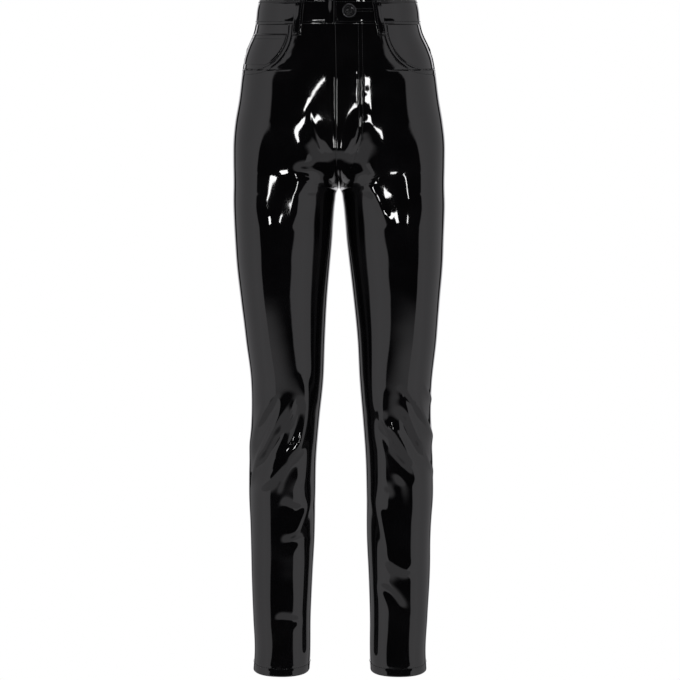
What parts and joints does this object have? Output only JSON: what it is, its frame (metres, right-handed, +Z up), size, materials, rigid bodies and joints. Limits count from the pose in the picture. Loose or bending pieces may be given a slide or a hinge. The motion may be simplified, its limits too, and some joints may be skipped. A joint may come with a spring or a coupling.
{
  "type": "high-waisted skinny five-pocket trousers in black patent vinyl, filled out with no wearer",
  "caption": "Hollow, shaped skinny trousers in glossy patent vinyl: high waist, belt loops, scoop pockets, back patch pockets, open waist and hems.",
  "frame": {"origin": "centre of the waist opening, in the plane of the waistband's top edge", "axes": "+Z up along the wearer's body, +X to the wearer's left, the front faces -Y"},
  "size_m": [0.3218, 0.2189, 1.0362],
  "materials": {
    "patent_vinyl": "mirror-gloss black patent vinyl on a knit backing",
    "black_button": "polished black shank button"
  },
  "bodies": {
    "root": {"front_panel_left": "patent_vinyl", "front_panel_right": "patent_vinyl", "back_panel_left": "patent_vinyl", "back_panel_right": "patent_vinyl", "yoke_left": "patent_vinyl", "yoke_right": "patent_vinyl", "pocket_facing_left": "patent_vinyl", "pocket_facing_right": "patent_vinyl", "coin_pocket": "patent_vinyl", "back_pocket_left": "patent_vinyl", "back_pocket_right": "patent_vinyl", "waistband_left": "patent_vinyl", "waistband_right": "patent_vinyl", "belt_loop_front_left": "patent_vinyl", "belt_loop_front_right": "patent_vinyl", "belt_loop_back_left": "patent_vinyl", "belt_loop_back_right": "patent_vinyl", "belt_loop_centre_back": "patent_vinyl", "hem_left": "patent_vinyl", "hem_right": "patent_vinyl", "button": "black_button"}
  },
  "joints": []
}
